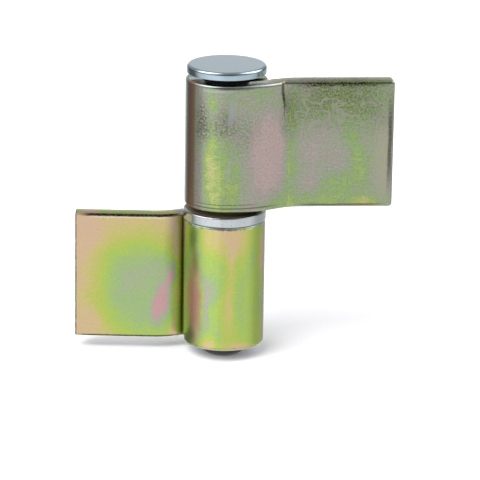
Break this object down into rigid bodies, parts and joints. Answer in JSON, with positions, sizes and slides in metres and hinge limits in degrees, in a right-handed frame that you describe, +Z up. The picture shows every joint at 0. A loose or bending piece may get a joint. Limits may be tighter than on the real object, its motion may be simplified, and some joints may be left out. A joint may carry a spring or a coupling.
{
  "type": "weld-on barrel hinge",
  "caption": "Weld-on barrel hinge rolled from flat steel bar, with opposed weld flags, a headed pin and a thrust ring between the knuckles.",
  "frame": {"origin": "on the pin's axis, level with the underside of the lower knuckle", "axes": "+Z up along the pin, -X along the lower flag, +Y towards the back, the lower flag's outer face"},
  "size_m": [0.0857, 0.0226, 0.0808],
  "materials": {
    "yellow_chromate_bright": "zinc plated, yellow chromated, iridescent lime, tan and pink",
    "yellow_chromate_dull": "zinc plated, yellow chromated, duller olive with faint roll grain",
    "bright_zinc_pin": "bright bluish zinc",
    "bright_zinc_ring": "bright bluish zinc"
  },
  "bodies": {
    "fixed_side": {"lower_leaf": "yellow_chromate_bright", "hinge_pin": "bright_zinc_pin", "thrust_ring": "bright_zinc_ring"},
    "swinging_side": {"upper_leaf": "yellow_chromate_dull"}
  },
  "joints": [
    {"name": "hinge_turn", "type": "hinge", "parent": "fixed_side", "child": "swinging_side", "pos_m": [0, 0, 0.0565], "axis": [0, 0, 1], "continuous": true}
  ]
}
